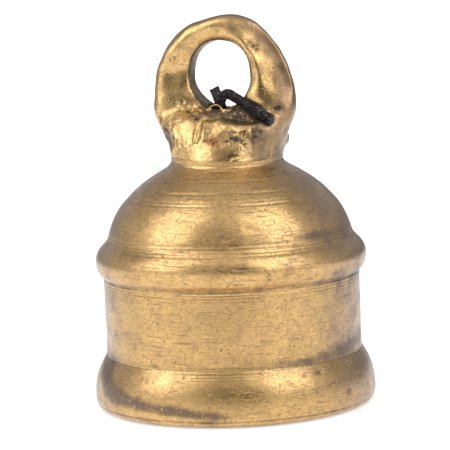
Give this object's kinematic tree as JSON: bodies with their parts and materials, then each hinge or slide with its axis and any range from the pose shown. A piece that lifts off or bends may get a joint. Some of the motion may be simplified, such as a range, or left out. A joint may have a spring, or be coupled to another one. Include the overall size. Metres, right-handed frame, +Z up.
{
  "type": "hanging hand bell",
  "caption": "Turned cast-brass temple bell with a thick rough-cast hanging loop, an iron staple through its crown and a swinging iron-and-brass clapper.",
  "frame": {"origin": "on the bell's axis, at the flat ring of the rim that the bell stands on", "axes": "+Z up along the bell's axis to the loop; the loop's plane is XZ and its hole runs along Y; the long end of the iron staple points to +X and -Y"},
  "size_m": [0.0766, 0.0766, 0.106],
  "materials": {
    "turned_brass": "turned, worn and tarnished",
    "rough_brass": "rough cast, pitted, worn smooth on the loop",
    "forged_iron": "hammered and blackened",
    "bob_brass": "cast, dull brown"
  },
  "bodies": {
    "bell": {"bell_body": "turned_brass", "crown_loop": "rough_brass", "clapper_staple": "forged_iron"},
    "link": {"clapper_link": "forged_iron"},
    "clapper": {"clapper_rod": "forged_iron", "clapper_bob": "bob_brass"}
  },
  "joints": [
    {"name": "link_swing", "type": "hinge", "parent": "bell", "child": "link", "pos_m": [0, 0, 0.0514], "axis": [0, 1, 0], "range_deg": [-34, 34]},
    {"name": "clapper_swing", "type": "hinge", "parent": "link", "child": "clapper", "pos_m": [0, 0, 0.04467], "axis": [1, 0, 0], "range_deg": [-8, 8]}
  ]
}
